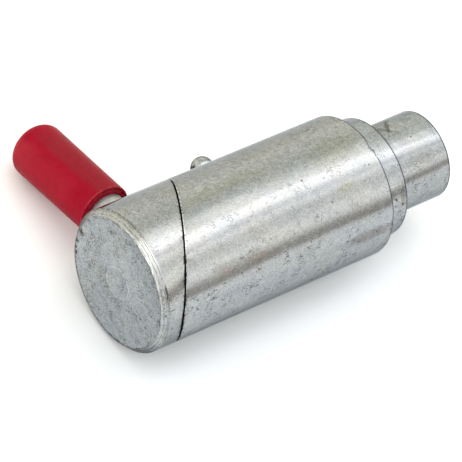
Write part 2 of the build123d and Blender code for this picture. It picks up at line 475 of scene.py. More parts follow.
def make_knob():
    """The knob: a blind bore, a ridged bevel, a sunk end face and the slanted front."""
    line = axis_line()
    bore = SHANK_RADIUS + SEAT_CLEARANCE
    face = KNOB_BACK + FACE_SINK
    knob = turned("cam_knob", line, [
        (KNOB_BORE_END, bore),
        (PAST_CUT, bore),
        (PAST_CUT, BARREL_RADIUS),
        *bevel_ridges(),
        (KNOB_BACK, LIP_RADIUS),
        (KNOB_BACK, LIP_RADIUS - LIP_FLAT),
        (face, LIP_RADIUS - LIP_FLAT - LIP_SLOPE),
        (face, CENTRE_RING_RADIUS + CENTRE_RING_SLOPE),
        (face - CENTRE_RING_RISE, CENTRE_RING_RADIUS),
        (face, CENTRE_RING_RADIUS - CENTRE_RING_SLOPE),
    ])
    cap(knob, line, KNOB_BORE_END, bore)
    cap(knob, line, face, CENTRE_RING_RADIUS - CENTRE_RING_SLOPE)
    slanted_cut(knob, KNOB_CUT, False, bore)
    drill(knob, side_line(HANDLE_X), SHANK_RADIUS / 2, BARREL_RADIUS + OVERRUN,
          ROD_RADIUS + SEAT_CLEARANCE)
    finish_shape(knob)
    return knob


def make_rod():
    """The handle rod, with the spigot that locks it in the shank."""
    line = side_line(HANDLE_X)
    rod = turned("handle_bar", line, [
        (ROD_FOOT, ROD_SPIGOT_RADIUS),
        (ROD_SHOULDER, ROD_SPIGOT_RADIUS),
        (ROD_SHOULDER, ROD_RADIUS),
        (ROD_END, ROD_RADIUS),
    ], MIDDLE_TURN)
    cap(rod, line, ROD_FOOT, ROD_SPIGOT_RADIUS)
    cap(rod, line, ROD_END, ROD_RADIUS)
    break_edge(rod, ring_at(line, ROD_END, ROD_RADIUS), ROD_END_BREAK)
    finish_shape(rod)
    return rod


def make_grip():
    """The grip: a folded mouth, a slight taper, and a shallow crown on a rounded corner."""
    line = side_line(HANDLE_X)
    bore = ROD_RADIUS + SEAT_CLEARANCE
    corner_reach = GRIP_END_RADIUS - DOME_CORNER
    crown_radius = (corner_reach**2 + DOME_DEPTH**2 - DOME_CORNER**2) / (
        2 * (DOME_DEPTH - DOME_CORNER)
    )
    crown_centre = DOME_BASE + DOME_DEPTH - crown_radius
    meeting = Vector((corner_reach, DOME_BASE - crown_centre)).angle(Vector((1, 0)))
    grip = turned("hand_grip", line, [
        (ROD_END, bore),
        *[(GRIP_START + inwards, bore + outwards) for inwards, outwards in GRIP_MOUTH_FOLD],
        *arc(GRIP_START + GRIP_MOUTH_SET + GRIP_MOUTH_ROUND, GRIP_RADIUS - GRIP_MOUTH_ROUND,
             GRIP_MOUTH_ROUND, GRIP_MOUTH_CURL, 0, 7),
        (DOME_BASE, GRIP_END_RADIUS),
        *arc(DOME_BASE, corner_reach, DOME_CORNER, 0, meeting, 7),
        *arc(crown_centre, 0, crown_radius, meeting, DOME_TIP_ANGLE, 9),
    ], MIDDLE_TURN)
    cap(grip, line, ROD_END, bore)
    close_tip(grip, line, crown_centre + crown_radius * sin(DOME_TIP_ANGLE),
              crown_radius * cos(DOME_TIP_ANGLE))
    finish_shape(grip)
    return grip


def make_nipple():
    """The grease nipple: a drilled stem with a ball head, and the hexagon round it."""
    line = side_line(NIPPLE_X)
    top = NIPPLE_HEAD + sqrt(NIPPLE_HEAD_RADIUS**2 - NIPPLE_TOP_RADIUS**2)
    neck_top = NIPPLE_HEAD - sqrt(NIPPLE_HEAD_RADIUS**2 - NIPPLE_NECK_RADIUS**2)
    top_angle = Vector((NIPPLE_TOP_RADIUS, top - NIPPLE_HEAD)).angle(Vector((1, 0)))
    neck_angle = Vector((NIPPLE_NECK_RADIUS, NIPPLE_HEAD - neck_top)).angle(Vector((1, 0)))
    stem = turned("grease_fitting", line, [
        (NIPPLE_FOOT, NIPPLE_OUTLET_RADIUS),
        (NIPPLE_BORE_FOOT, NIPPLE_OUTLET_RADIUS),
        (NIPPLE_BORE_FOOT, NIPPLE_BORE_RADIUS),
        (top - NIPPLE_LIP, NIPPLE_BORE_RADIUS),
        (top - NIPPLE_LIP, NIPPLE_INLET_RADIUS),
        (top, NIPPLE_INLET_RADIUS),
        (top, NIPPLE_TOP_RADIUS),
        *arc(NIPPLE_HEAD, 0, NIPPLE_HEAD_RADIUS, top_angle, -neck_angle, 16),
        (NIPPLE_THREAD_TOP, NIPPLE_NECK_RADIUS),
        (NIPPLE_THREAD_TOP, NIPPLE_THREAD_RADIUS),
        (NIPPLE_FOOT, NIPPLE_THREAD_RADIUS),
    ], SMALL_TURN)
    bridge_rings(stem, line, (NIPPLE_FOOT, NIPPLE_THREAD_RADIUS),
                 (NIPPLE_FOOT, NIPPLE_OUTLET_RADIUS))
    corner = NIPPLE_HEX_WIDTH / 2 / cos(radians(30))
    hex_top = NIPPLE_SEAT + NIPPLE_HEX_HEIGHT
    hexagon = turned("hexagon", line, [(NIPPLE_SEAT, corner), (hex_top, corner)], 6,
                     first_corner=radians(30))
    cap(hexagon, line, NIPPLE_SEAT, corner)
    cap(hexagon, line, hex_top, corner)
    break_edge(hexagon, ring_at(line, hex_top, corner), NIPPLE_HEX_BREAK, steps=2)
    drill(hexagon, line, NIPPLE_SEAT - OVERRUN, hex_top + OVERRUN, NIPPLE_HEX_BORE_RADIUS)
    combine(stem, hexagon, "UNION")
    finish_shape(stem)
    return stem


def make_coil(name, line, foot, length, wire, mean_diameter, turns):
    """A round wire wound along a line, from foot, with its two ends closed."""
    start, along, lie = line
    bpy.ops.object.select_all(action="DESELECT")
    bpy.ops.mesh.primitive_circle_add(
        vertices=WIRE_SIDES, radius=wire / 2 * MM, location=(mean_diameter / 2 * MM, 0, 0),
        rotation=(pi / 2, 0, 0)
    )
    coil = bpy.context.object
    coil.name = name
    bpy.ops.object.transform_apply(location=True, rotation=True, scale=True)
    winding = coil.modifiers.new("winding", "SCREW")
    winding.axis = "Z"
    winding.steps = COIL_STEPS
    winding.render_steps = COIL_STEPS
    winding.iterations = turns
    winding.screw_offset = (length - wire) / turns * MM
    bpy.ops.object.modifier_apply(modifier=winding.name)
    coil.rotation_euler = lie
    coil.location = start + along * (foot + wire / 2) * MM
    bpy.ops.object.transform_apply(location=True, rotation=True, scale=True)
    start_edit(coil)
    bpy.ops.mesh.select_all(action="SELECT")
    bpy.ops.mesh.fill_holes(sides=0)
    bpy.ops.object.mode_set(mode="OBJECT")
    finish_shape(coil, sharp=50)
    return coil


class Wire:
    """A value running between nodes. Arithmetic on it adds Math nodes to the same tree."""

    def __init__(self, tree, socket=None):
        self.tree = tree
        self.socket = socket

    def node(self, kind, settings=None, inputs=None, output=0):
        """Add any node: its settings are made first, then its sockets' values or links."""
        made = self.tree.nodes.new(kind)
        for setting, value in (settings or {}).items():
            if setting == "stops":
                stops = made.color_ramp.elements
                while len(stops) < len(value):
                    stops.new(0.5)
                for stop, (place, colour) in zip(stops, value):
                    stop.position = place
                    stop.color = (*colour, 1)
            else:
                setattr(made, setting, value)
        for socket, value in (inputs or {}).items():
            if isinstance(value, Wire):
                self.tree.links.new(value.socket, made.inputs[socket])
            else:
                made.inputs[socket].default_value = value
        return Wire(self.tree, made.outputs[output]) if made.outputs else None

    def math(self, operation, *values):
        """One sum on numbers."""
        return self.node("ShaderNodeMath", {"operation": operation}, dict(enumerate(values)))

    def __add__(self, other):
        return self.math("ADD", self, other)

    def __sub__(self, other):
        return self.math("SUBTRACT", self, other)

    def __rsub__(self, other):
        return self.math("SUBTRACT", other, self)

    def __mul__(self, other):
        return self.math("MULTIPLY", self, other)

    def __pow__(self, other):
        return self.math("POWER", self, other)

    def __abs__(self):
        return self.math("ABSOLUTE", self)

    __radd__ = __add__
    __rmul__ = __mul__

    def between(self, low, high, start=0.0, end=1.0):
        """A smooth rise from start to end while this value goes from low to high."""
        return self.node(
            "ShaderNodeMapRange",
            {"interpolation_type": "SMOOTHSTEP"},
            {"Value": self, "From Min": low, "From Max": high, "To Min": start, "To Max": end},
        )

    def other(self, output):
        """Another output of the node that this value comes from."""
        return Wire(self.tree, self.socket.node.outputs[output])

    def wave(self, period):
        """A sine of this value."""
        return self.math("SINE", self * (2 * pi / period))

    def vector(self, operation, *values, output=0):
        """One sum on vectors or colours. Output 1 is its plain number, where it has one."""
        return self.node(
            "ShaderNodeVectorMath", {"operation": operation}, dict(enumerate(values)), output
        )

    def along(self, direction):
        """How far this place lies along a direction, in millimetres."""
        return self.vector("DOT_PRODUCT", self, direction / MM, output=1)

    def from_line(self, line):
        """How far this place is from a line, in millimetres."""
        foot, along, _ = line
        across = self.vector("CROSS_PRODUCT", self.vector("SUBTRACT", self, foot), along / MM)
        return self.vector("LENGTH", across, output=1)

    def around(self):
        """The angle round the barrel's axis, in degrees from straight up towards -Y."""
        return self.math("ARCTAN2", self.along(-ACROSS), self.along(UP)) * (180 / pi)

    def red(self):
        """The red in this colour. In a random colour it is an even random value."""
        return self.vector("DOT_PRODUCT", self, (1, 0, 0), output=1)

    def stretched(self, size, stretch=(1, 1, 1)):
        """This place counted in patterns of a size in millimetres."""
        scale = tuple(1 / (size * MM * part) for part in stretch)
        return self.node("ShaderNodeMapping", None, {"Vector": self, "Scale": scale})

    def noise(self, size, detail=2.0, roughness=0.5, stretch=(1, 1, 1)):
        """A random pattern of a size in millimetres, drawn out along X, Y or Z."""
        return self.node(
            "ShaderNodeTexNoise",
            None,
            {"Vector": self.stretched(size, stretch), "Detail": detail, "Roughness": roughness,
             "Scale": 1.0},
        )

    def strokes(self, size, width, stretch=(1, 1, 1)):
        """Fine wandering lines, as the contours of a random pattern."""
        level = self.noise(size, detail=1, roughness=0.6, stretch=stretch)
        return abs(level - 0.5).between(width * 0.3, width, 1, 0)

    def cells(self, size):
        """How far this place is from the heart of its cell, which is a size across."""
        return self.node(
            "ShaderNodeTexVoronoi", None, {"Vector": self.stretched(size), "Scale": 1.0}
        )

    def spots(self, spacing, radius, share):
        """Ragged dots, one in a share of the cells that are a spacing across."""
        ragged = self.noise(radius * 2, detail=1).other(1)
        moved = self.vector("ADD", self, ragged.scaled(radius * MM))
        near = moved.cells(spacing)
        luck = near.other(1).red()
        size = luck * (radius / spacing / share)
        present = luck.between(share, share * 0.98)
        return (near - size).between(0.05, -0.05) * present

    def flakes(self, size):
        """An even random value for each small crystal of a size in millimetres."""
        return self.cells(size).other(1).red()

    def smudge(self, x, angle, length, width, tilt=0.0, ragged=1.0, soft=0.2,
               radius=BARREL_RADIUS):
        """A ragged patch on the turned side, in millimetres round a place on it."""
        across = (self.around() - angle) * (radius * pi / 180)
        along = (self.along(AXIS) - x) - across * tilt
        reach = self.math(
            "SQRT", (along * (2 / length)) ** 2 + (across * (2 / width)) ** 2
        )
        reach = reach + (self.noise(1.8, detail=3) - 0.5) * ragged
        return reach.between(0.95 + soft, 0.95 - soft)

    def blot(self, place, size):
        """A ragged round patch about a point."""
        reach = self.vector("DISTANCE", self, place, output=1) * (1 / MM)
        reach = reach + (self.noise(0.9, detail=3) - 0.5) * (2.5 * size)
        return reach.between(size, size * 0.7)

    def scaled(self, factor):
        """This colour or vector times a number or a value."""
        return self.node(
            "ShaderNodeVectorMath", {"operation": "SCALE"}, {0: self, "Scale": factor}
        )

    def bump(self):
        """The surface's normal, from this height in millimetres."""
        return self.node("ShaderNodeBump", None, {"Strength": 1.0, "Distance": MM, "Height": self})

    def tinted(self, under, over):
        """The colour under where this mask is 0, and over where it is 1."""
        return self.node(
            "ShaderNodeMix",
            {"data_type": "RGBA"},
            {0: self, 6: under, 7: over},
            output=2,
        )


def new_finish(name):
    """A material with an empty tree, and the place on the piece that its patterns read."""
    material = bpy.data.materials.new(name)
    material.use_nodes = True
    material.node_tree.nodes.clear()
    start = Wire(material.node_tree)
    return material, start, start.node("ShaderNodeTexCoord", output=3)


def finish_with(start, **inputs):
    """End a material in one Principled surface."""
    named = {key.replace("_", " ").title(): value for key, value in inputs.items()}
    renamed = {"Specular Ior Level": "Specular IOR Level"}
    surface = start.node(
        "ShaderNodeBsdfPrincipled",
        None,
        {renamed.get(key, key): value for key, value in named.items()},
    )
    start.node("ShaderNodeOutputMaterial", None, {"Surface": surface})


def with_tint_patches(colour, place, tint_patches):
    """A colour with tint patches on it, each a mark and the tint that it multiplies in: stain marks, and in places
    painted highlights and painted shade.
    """
    for mark, tint in tint_patches:
        colour = mark(place).tinted(colour, colour.vector("MULTIPLY", colour, tint))
    return colour


def painted_edge_shade(colour, place, front):
    """Painted shade: a dark line round a turned piece, just behind its front edge."""
    x = place.along(AXIS)
    edge = x.between(front - 0.75, front - 0.42)
    edge = edge * x.between(front - 0.01, front - 0.06) * 0.88
    return edge.tinted(colour, (0.06, 0.068, 0.09, 1))


def cut_finish(colour, place, metal, centre, side):
    """Rust and grime along the slanted cut, a pale edge line on the barrel's side that is partly wear and partly
    painted highlight, and greasy arcs on the face behind it.
    """
    around = place.around()
    away = (place.along(SLANT) - centre * cos(CUT_ANGLE)) * side
    rusty = away.between(1.6, 0.1) * place.noise(1.1, detail=2).between(0.53, 0.64)
    colour = (rusty * 0.6).tinted(colour, (0.15, 0.11, 0.075, 1))
    grime = away.between(0.4, 0.15) * place.noise(2.5, detail=3).between(0.46, 0.6)
    grime = grime * around.between(-25, 10, 0.3, 1)
    colour = (grime * 0.85).tinted(colour, (0.03, 0.03, 0.03, 1))

    wavy = place.from_line(axis_line()) + place.noise(5, detail=1) * 1.5
    arcs = wavy.wave(0.9).between(0.2, 1) * place.noise(3, detail=2).between(0.42, 0.6)
    greasy = place.noise(6, detail=3).between(0.46, 0.62)
    face = (arcs * 0.35).tinted(metal, (0.2, 0.2, 0.18, 1))
    face = (greasy * 0.5).tinted(face, (0.16, 0.135, 0.085, 1))
    colour = away.between(0.02, 0.005).tinted(colour, face)
    if side > 0:
        # Partly wear and partly painted highlight: a pale patchy line along the barrel's edge of the cut, on its
        # upper side only
        worn_edge_and_highlight = away.between(0.4, 0.2) * away.between(0.005, 0.03) * around.between(40, 15)
        worn_edge_and_highlight = worn_edge_and_highlight * place.noise(0.9, detail=1).between(0.44, 0.52)
        colour = (worn_edge_and_highlight * 0.75).tinted(colour, (0.78, 0.78, 0.76, 1))
    return colour


def bevel_finish(colour, place, bevel):
    """The knob's bevel: broken ridges, chips, and dirt along its crest, with painted highlights on its upper side,
    in a bright band and on its pale lip, and painted shade on its far sides.
    """
    around = place.around()
    ahead = place.along(AXIS) - KNOB_BACK
    from_axis = place.from_line(axis_line())
    off_lip = from_axis - LIP_RADIUS
    # Painted highlight: the bevel paler on its upper and back side
    pale = bevel * around.between(45, 25)
    colour = (pale * 0.25).tinted(colour, (0.60, 0.60, 0.56, 1))
    # Painted highlight: a bright band on the bevel from about 0 to 45 degrees round
    painted_bevel_highlight = bevel * around.between(-2, 12) * around.between(46, 18)
    colour = (painted_bevel_highlight * 0.45).tinted(colour, (0.95, 0.95, 0.93, 1))
    # Painted highlight: a pale line on the lip, strongest on its upper front
    lip = bevel * off_lip.between(-0.2, -0.05) * off_lip.between(0.35, 0.15)
    lip = lip * around.between(-30, -15) * around.between(75, 45, 0.3, 1)
    lip = lip * place.noise(1.2, detail=2).between(0.4, 0.5)
    colour = (lip * 0.6).tinted(colour, (0.9, 0.9, 0.88, 1))
    ridges = (from_axis + place.noise(3, detail=1) * 0.4).wave(0.56).between(0.0, 0.9)
    ridges = ridges * place.noise(1.6, detail=2).between(0.36, 0.52) * bevel
    colour = (ridges * 0.6).tinted(colour, (0.17, 0.165, 0.15, 1))
    chipped = off_lip.between(-0.7, -0.55) * off_lip.between(-0.05, -0.2)
    chipped = chipped * ahead.between(0.6, 0.3)
    chipped = chipped * place.noise(1.0, detail=3).between(0.5, 0.56)
    colour = (chipped * 0.75).tinted(colour, (0.12, 0.12, 0.11, 1))
    crest = ahead.between(1.4, 1.55) * ahead.between(1.95, 1.75)
    dirt = crest * place.noise(0.8, detail=3).between(0.35, 0.47)
    dirt = dirt * (around.between(16, -6) + 0.55 * around.between(44, 56))
    colour = (dirt * 0.75).tinted(colour, (0.13, 0.115, 0.07, 1))
    # Painted shade: the bevel darker on its far low side and its far upper side
    shaded = bevel * (around.between(110, 126) + around.between(-60, -75))
    return (shaded * 0.6).tinted(colour, (0.08, 0.08, 0.08, 1))


def end_face_finish(colour, place, plate, mottle, tint_patches):
    """The knob's dull end face and its bevel, the roughness they add, and their marks' depth."""
    ahead = place.along(AXIS) - KNOB_BACK
    from_axis = place.from_line(axis_line())
    face = ahead.between(0.3, 0.15)
    bevel = ahead.between(2.0, 1.6) * (from_axis - LIP_RADIUS).between(-0.5, -0.3)
    worms = place.strokes(1.5, 0.05) * place.noise(3.0, detail=1).between(0.46, 0.6)
    hairs = place.strokes(0.6, 0.07) * place.noise(2.6, detail=2).between(0.4, 0.55)
    ring = abs(from_axis - CENTRE_RING_RADIUS).between(0.35, 0.15)
    ring = ring * place.noise(1.5, detail=2).between(0.42, 0.56)
    dull = plate.scaled(
        0.42 + 0.68 * place.flakes(0.23) + 0.3 * place.noise(0.3, detail=1) + 0.18 * mottle
    )
    dull = dull.vector("MULTIPLY", dull, (0.935, 0.98, 1.02))
    dull = (hairs * 0.32).tinted(dull, (0.12, 0.12, 0.11, 1))
    dull = (worms * 0.65).tinted(dull, (0.12, 0.12, 0.11, 1))
    dull = (ring * 0.6).tinted(dull, (0.64, 0.66, 0.64, 1))
    colour = with_tint_patches(face.tinted(colour, dull), place, tint_patches)
    colour = bevel_finish(colour, place, bevel)
    return colour, face * 0.14 + bevel * 0.1, face * worms * 0.02


def zinc_plate(name, front_edge=None, cut=None, end_face=(), tint_patches=(), dullness=0):
    """Mottled bright zinc plate on a turned piece.

    front_edge is the place of its front edge along the axis, behind which a dark line of painted
    shade runs. cut is the place where its slanted cut crosses the axis, with 1 for the barrel's
    side of the cut and -1 for the knob's. end_face holds the marks on the knob's end face, and the
    tint patches hold those on the turned side: stain marks, painted highlights and painted shade.
    dullness is added roughness, made up for in the colour.
    """
    material, start, place = new_finish(name)
    around = place.around()
    grain = place.noise(0.45, detail=2, roughness=0.75)
    mottle = place.noise(2.2, detail=3, roughness=0.65)
    blotches = place.noise(6, detail=2, stretch=(1.6, 1, 1))
    lathe = place.noise(0.35, detail=1, stretch=(1, 80, 80))
    upper = around.between(8, -12) * around.between(-100, -65)
    rubbed = around.between(4, 11) * around.between(30, 22)
    low_side = around.between(46, 66)

    plate = blotches.between(0.35, 0.65).tinted((0.413, 0.423, 0.43, 1), (0.434, 0.433, 0.423, 1))
    shade = 0.12 + 0.26 * place.flakes(0.26) + 0.85 * grain + 0.45 * mottle + 0.14 * lathe
    shade = shade + upper * (0.7 * place.noise(1.1, detail=3, roughness=0.7) - 0.35)
    shade = shade + (0.97 - shade) * (rubbed * 0.3)
    colour = plate.scaled(shade * (1 + 1.3 * dullness))

    specks = place.spots(0.9, 0.22, 0.5) * place.noise(4.5, detail=2).between(0.46, 0.6)
    colour = (specks * (0.22 + 0.45 * upper)).tinted(colour, (0.12, 0.12, 0.10, 1))
    flecks = place.spots(3.4, 0.3, 0.35)
    colour = (flecks * 0.3).tinted(colour, (0.10, 0.10, 0.10, 1))
    crowding = place.noise(3.0, detail=1, roughness=0.6) + around.between(20, 28) * 0.02
    crowding = crowding + low_side * 0.02
    strokes = place.strokes(1.2, 0.03, (1.6, 1, 1)) * crowding.between(0.58, 0.63)
    strength = (0.5 + 0.35 * low_side) * (1 - 0.45 * rubbed)
    colour = (strokes * strength).tinted(colour, (0.10, 0.10, 0.10, 1))
    rust = place.spots(9, 0.6, 0.1)
    colour = (rust * 0.35).tinted(colour, (0.15, 0.105, 0.075, 1))
    colour = with_tint_patches(colour, place, tint_patches)

    height = (
        place.noise(8, detail=0, stretch=(2, 1, 1)) * 0.03
        + mottle * 0.012 + grain * 0.006 - strokes * 0.03 - specks * 0.01
    )
    rough = 0.085 + dullness + 0.06 * mottle + 0.05 * grain
    # Painted shade: a dark line just behind the front edge
    if front_edge is not None:
        colour = painted_edge_shade(colour, place, front_edge)
    if cut:
        metal = plate.scaled(0.72 + 0.35 * grain + 0.2 * mottle)
        colour = cut_finish(colour, place, metal, *cut)
    if end_face:
        colour, rougher, marks = end_face_finish(colour, place, plate, mottle, end_face)
        rough = rough + rougher
        height = height - marks
    finish_with(
        start,
        base_color=colour,
        metallic=1.0,
        specular_tint=(0.49, 0.515, 0.53, 1),
        roughness=rough,
        normal=height.bump(),
    )
    return material


def patch(*spot, **form):
    """A smudge on a turned side, kept until a finish gives it a place to read."""
    return lambda place: place.smudge(*spot, **form)


def dot(x, angle, size, radius=BARREL_RADIUS):
    """A small round mark, kept in the same way."""
    return lambda place: place.blot(on_side(x, angle, radius), size)


def painted_shade_at_rod_foot(place):
    """Painted shade round the hole that the rod stands in."""
    return place.from_line(side_line(HANDLE_X)).between(ROD_RADIUS + 2, ROD_RADIUS + 0.5)


# Tint patches, each a mark and the tint that it multiplies in: stain marks, and long bands at one
# angle that are painted highlights and painted shade in a piece's reflections. A smudge has its place along the
# axis, its angle, its length and its width, and a dot its place, its angle, its size and its distance from the
# axis.
OLIVE = (0.93, 0.93, 0.86)
# Tint of the painted highlights
PAINTED_HIGHLIGHT = (1.1, 1.1, 1.1)
BLUISH = (0.975, 0.995, 1.02)
BARREL_STAINS_AND_PAINTED_LIGHT = [
    (patch(-8.5, 75, 18, 3.6, tilt=0.1, ragged=0.6, soft=0.45), (0.7, 0.66, 0.63)),
    (patch(-39, -11, 14, 4, ragged=2.4), OLIVE),
    (patch(-11, -3, 20, 7, ragged=2), OLIVE),
    (patch(-51, -9, 16, 4, ragged=2.4), OLIVE),
    # Painted highlight: a lighter band at 7 degrees near the knob
    (patch(-50, 7, 24, 3, ragged=1.5), PAINTED_HIGHLIGHT),
    # Painted shade: darker bands at 48 to 52 degrees that deepen a dark reflection
    (patch(-52, 48.5, 20, 2), (0.86, 0.85, 0.84)),
    (patch(-46, 52, 9, 2, ragged=1.5), (0.95, 0.88, 0.86)),
    (patch(-56, 52, 6, 2, ragged=1.5), (0.95, 0.88, 0.86)),
    (patch(-30, 66, 9, 3, ragged=2.0), (0.9, 0.9, 0.9)),
    # Painted shade: long darker bands along the whole barrel, at 78 degrees and along its low edge
    (patch(-30, 78, 110, 5.5, soft=0.5), (0.94, 0.94, 0.94)),
    (patch(-30, 115, 110, 8, ragged=0.4, soft=0.3), (0.8, 0.81, 0.84)),
    (patch(-52, 72, 10, 3, ragged=2.0), (0.93, 0.92, 0.92)),
    (patch(-14, 30, 5, 2.5), OLIVE),
    (dot(-25.1, 11.8, 0.4), (0.5, 0.42, 0.36)),
    (dot(-3.9, 20.8, 0.35), (0.5, 0.5, 0.48)),
    (dot(-5.2, 20, 0.25), (0.5, 0.5, 0.48)),
    (dot(-0.9, 13.7, 0.3), (0.5, 0.38, 0.3)),
    (dot(-19.3, 35.9, 0.45), (0.6, 0.6, 0.58)),
    (dot(-15.5, 67.8, 0.6), (0.6, 0.6, 0.6)),
    (patch(-61.4, 70.9, 2.6, 0.5, tilt=0.5, ragged=1.6), (0.5, 0.48, 0.46)),
]
PIN_STAINS_AND_PAINTED_LIGHT = [
    (patch(20, 30, 40, 60, radius=PIN_RADIUS), (0.985, 0.995, 1.01)),
    # Painted highlight and painted shade: long bands along the whole pin, lighter at 0 degrees and darker at 22,
    # 40, -46 and 72 degrees
    (patch(17, 0, 44, 3.4, ragged=0.5, soft=0.4, radius=PIN_RADIUS), (1.2, 1.19, 1.2)),
    (patch(17, 22, 44, 3.2, ragged=0.8, soft=0.4, radius=PIN_RADIUS), (0.83, 0.83, 0.83)),
    (patch(17, 40, 44, 2.2, ragged=0.8, soft=0.4, radius=PIN_RADIUS), (0.92, 0.91, 0.91)),
    (patch(17, -46, 44, 4.5, ragged=0.8, soft=0.4, radius=PIN_RADIUS), (0.82, 0.81, 0.77)),
    (patch(17, 72, 44, 9, ragged=1.5, soft=0.4, radius=PIN_RADIUS), (0.95, 0.94, 0.93)),
    (patch(15, -27, 1.5, 8, tilt=-0.6, ragged=1.2, soft=0.4, radius=PIN_RADIUS),
     (0.5, 0.5, 0.45)),
    (patch(13.2, -22, 1.8, 7, tilt=0.8, ragged=1.3, soft=0.4, radius=PIN_RADIUS),
     (0.72, 0.72, 0.67)),
    (patch(11, -24, 7, 5, ragged=1.5, radius=PIN_RADIUS), (0.82, 0.83, 0.79)),
    (patch(18, 34, 13, 3, ragged=2.5, radius=PIN_RADIUS), (0.86, 0.87, 0.86)),
    (dot(17.9, 4.2, 0.35, PIN_RADIUS), (0.5, 0.5, 0.48)),
]
NOSE_STAINS_AND_PAINTED_LIGHT = [
    (patch(4, 30, 40, 80, radius=NOSE_RADIUS), BLUISH),
    # Painted highlight and painted shade: long bands along the whole nose, lighter at 0 and 48.5 degrees and
    # darker at 38 and 57 degrees
    (patch(4, 0, 40, 2.2, ragged=0.5, soft=0.4, radius=NOSE_RADIUS), (1.13, 1.12, 1.13)),
    (patch(4, 38, 40, 3, ragged=0.5, soft=0.4, radius=NOSE_RADIUS), (0.92, 0.91, 0.9)),
    (patch(4, 48.5, 40, 1.6, ragged=0.4, radius=NOSE_RADIUS), (1.2, 1.2, 1.18)),
    (patch(4, 57, 40, 2, ragged=0.4, radius=NOSE_RADIUS), (0.82, 0.82, 0.8)),
    (patch(6, 60, 2.2, 5, ragged=2.2, radius=NOSE_RADIUS), (0.72, 0.67, 0.62)),
    # Painted shade along the nose's low edge
    (patch(4, 112, 40, 6, ragged=0.4, radius=NOSE_RADIUS), (0.75, 0.75, 0.75)),
    (dot(3.5, 61, 0.5, NOSE_RADIUS), (0.36, 0.28, 0.2)),
    (dot(5.6, 67, 0.4, NOSE_RADIUS), (0.5, 0.38, 0.3)),
]
KNOB_STAINS_AND_PAINTED_LIGHT = [
    # Painted highlight at 7 degrees, and painted shade in long bands at 80 degrees and along the low edge
    (patch(-70, 7, 12, 3, ragged=1.5), PAINTED_HIGHLIGHT),
    (patch(-70, 80, 20, 6, soft=0.5), (0.93, 0.93, 0.94)),
    (patch(-70, 115, 20, 8, ragged=0.4, soft=0.3), (0.8, 0.81, 0.84)),
    (dot(-76.2, 45, 0.5), (0.5, 0.48, 0.45)),
    (patch(-75.9, 49.5, 0.5, 4.0, ragged=0.8), (0.25, 0.24, 0.26)),
    (patch(-74.7, 65.5, 1.8, 0.5, tilt=-0.4, ragged=1), (0.55, 0.5, 0.45)),
    # Painted shade round the rod's foot
    (painted_shade_at_rod_foot, (0.42, 0.4, 0.43)),
    (dot(-76.8, -8, 0.5), (0.5, 0.45, 0.35)),
]
# On the knob's end face: its place along the axis, and small marks by angle and radius
FACE_X = -77.4
FACE_MARKS = [(32, 17.5), (48, 18), (84, 17.4), (110, 17.5), (105, 10), (100, 11.5), (101, 14),
              (80, 14.5), (-168, 15), (20, 15.5)]
FACE_STAINS = [
    (dot(FACE_X, -30, 1.1, 14.5), (0.82, 0.75, 0.7)),
    (dot(FACE_X, -32, 0.35, 14.8), (0.55, 0.47, 0.42)),
    (dot(FACE_X, -84, 1.7, 17.2), (0.7, 0.68, 0.67)),
    (dot(FACE_X, -84, 0.8, 17.4), (0.25, 0.23, 0.2)),
    (dot(FACE_X, -97, 0.8, 17.8), (0.2, 0.19, 0.18)),
    (dot(FACE_X, -104, 0.7, 17.9), (0.25, 0.24, 0.22)),
    (dot(FACE_X, -110, 0.7, 17.9), (0.2, 0.19, 0.18)),
    (dot(FACE_X, 14, 0.8, 15.1), (0.75, 0.73, 0.66)),
    (dot(FACE_X, 87, 1.1, 13.2), (0.85, 0.86, 0.9)),
    *[(dot(FACE_X, angle, 0.36, radius), (0.4, 0.38, 0.36)) for angle, radius in FACE_MARKS],
]


# The place where the grip is dented, shown only as painted shade, and the directions that its top and its low side
# face, where painted shade and a painted sheen lie
GRIP_DENT = Vector((-58.1, 49.4, -4.9))
GRIP_TOP = Vector((0.07, 0.22, 0.97))
GRIP_LOW_SIDE = Vector((-0.77, -0.14, -0.63))


def off_rod(place, direction):
    """How far a place is off the rod's line in a direction, in millimetres."""
    return place.along(direction) - HANDLE_X * direction.x


